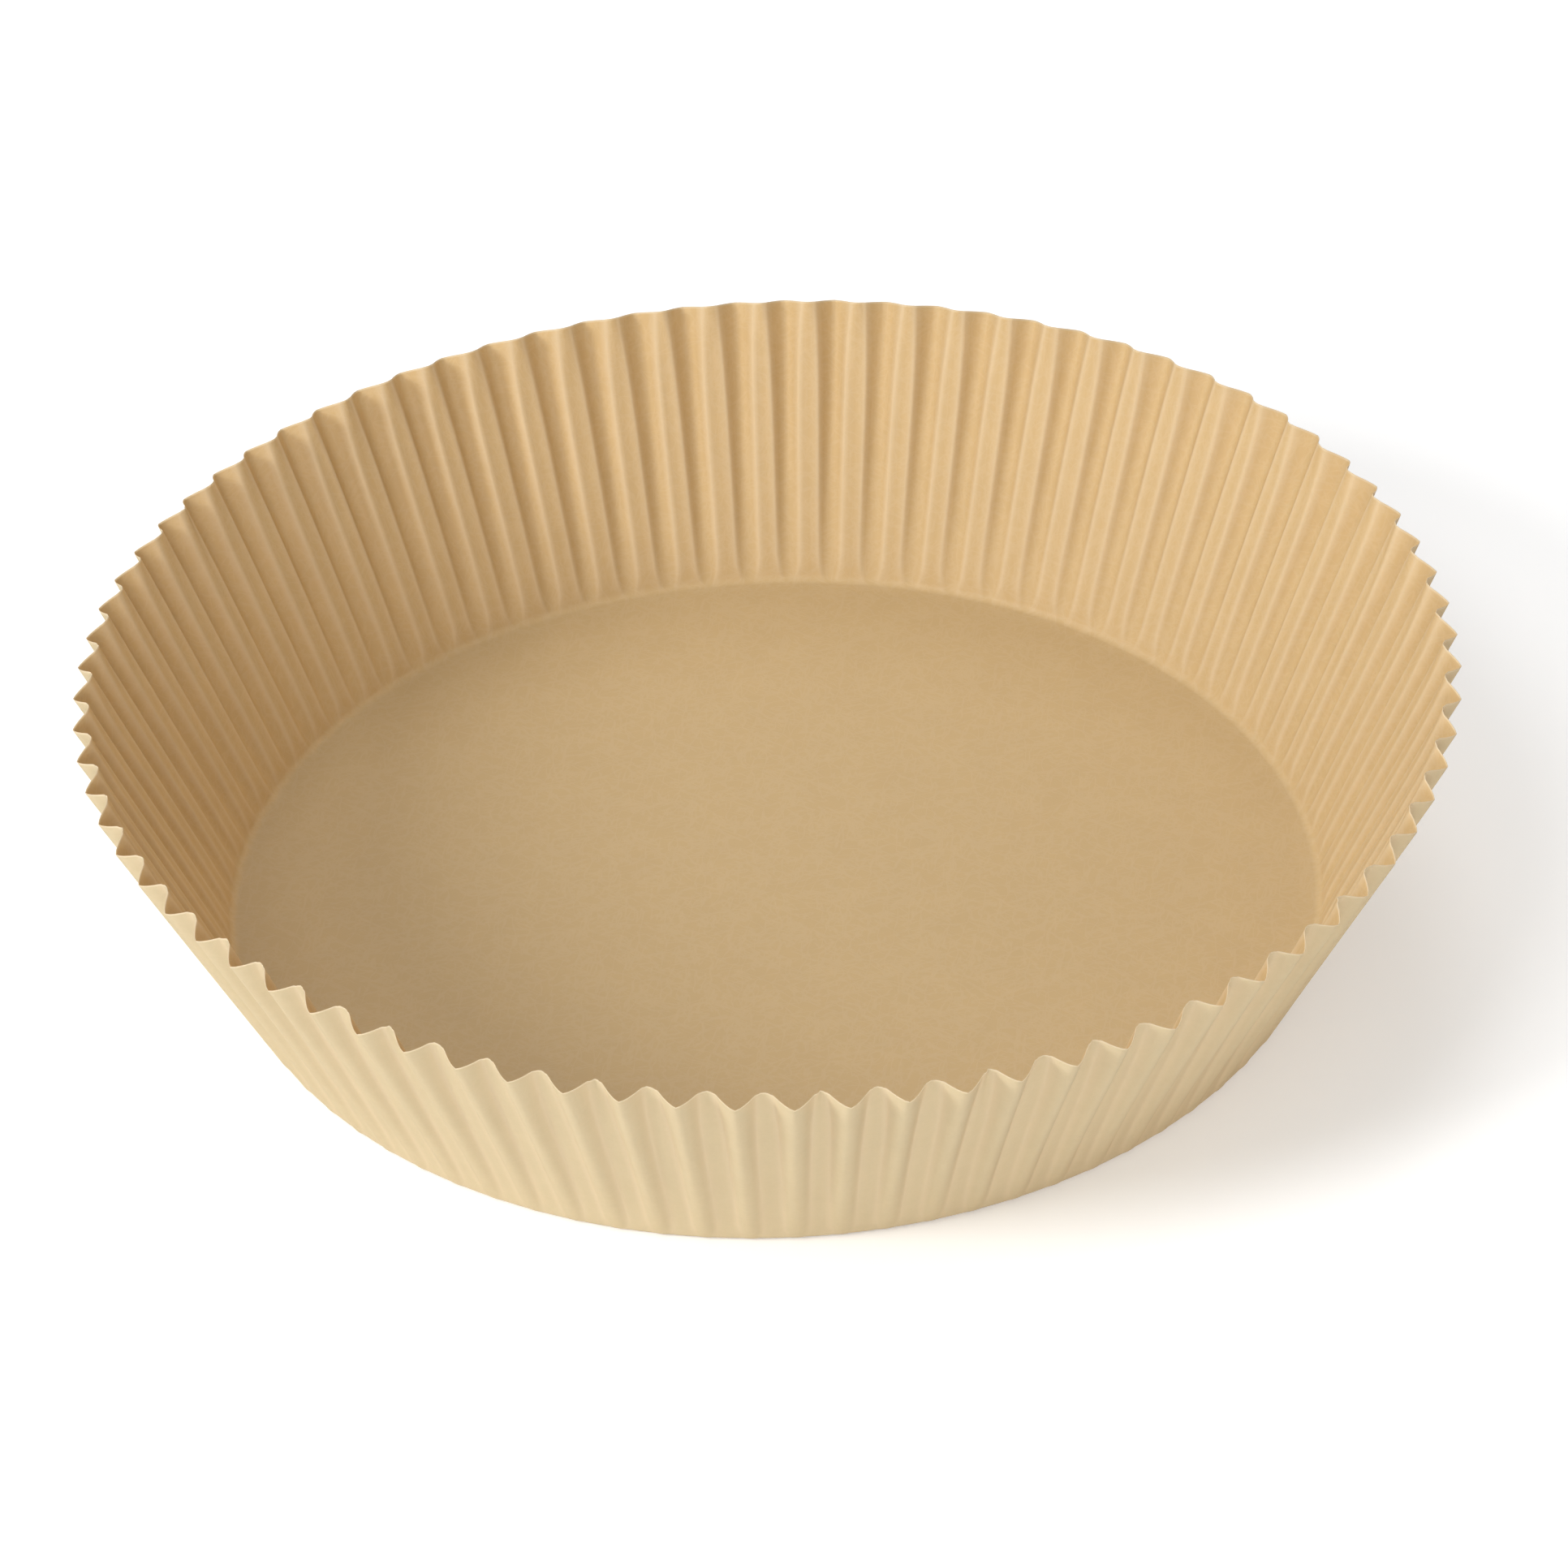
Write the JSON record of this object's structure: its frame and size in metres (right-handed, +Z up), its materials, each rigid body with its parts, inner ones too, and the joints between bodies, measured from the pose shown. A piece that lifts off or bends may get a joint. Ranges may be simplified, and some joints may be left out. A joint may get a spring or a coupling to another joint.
{
  "type": "air fryer paper liner",
  "caption": "Round greaseproof paper dish with a flat floor and a flaring pleated wall, which keeps food and fat off an air fryer's basket.",
  "frame": {"origin": "centre of the underside of the floor", "axes": "+Z up along the dish's axis, out of its open side; X and Y lie in the floor"},
  "size_m": [0.2, 0.2, 0.0411],
  "materials": {
    "liner_paper": "unbleached tan greaseproof paper with a faint silicone sheen"
  },
  "bodies": {
    "root": {"liner": "liner_paper"}
  },
  "joints": []
}
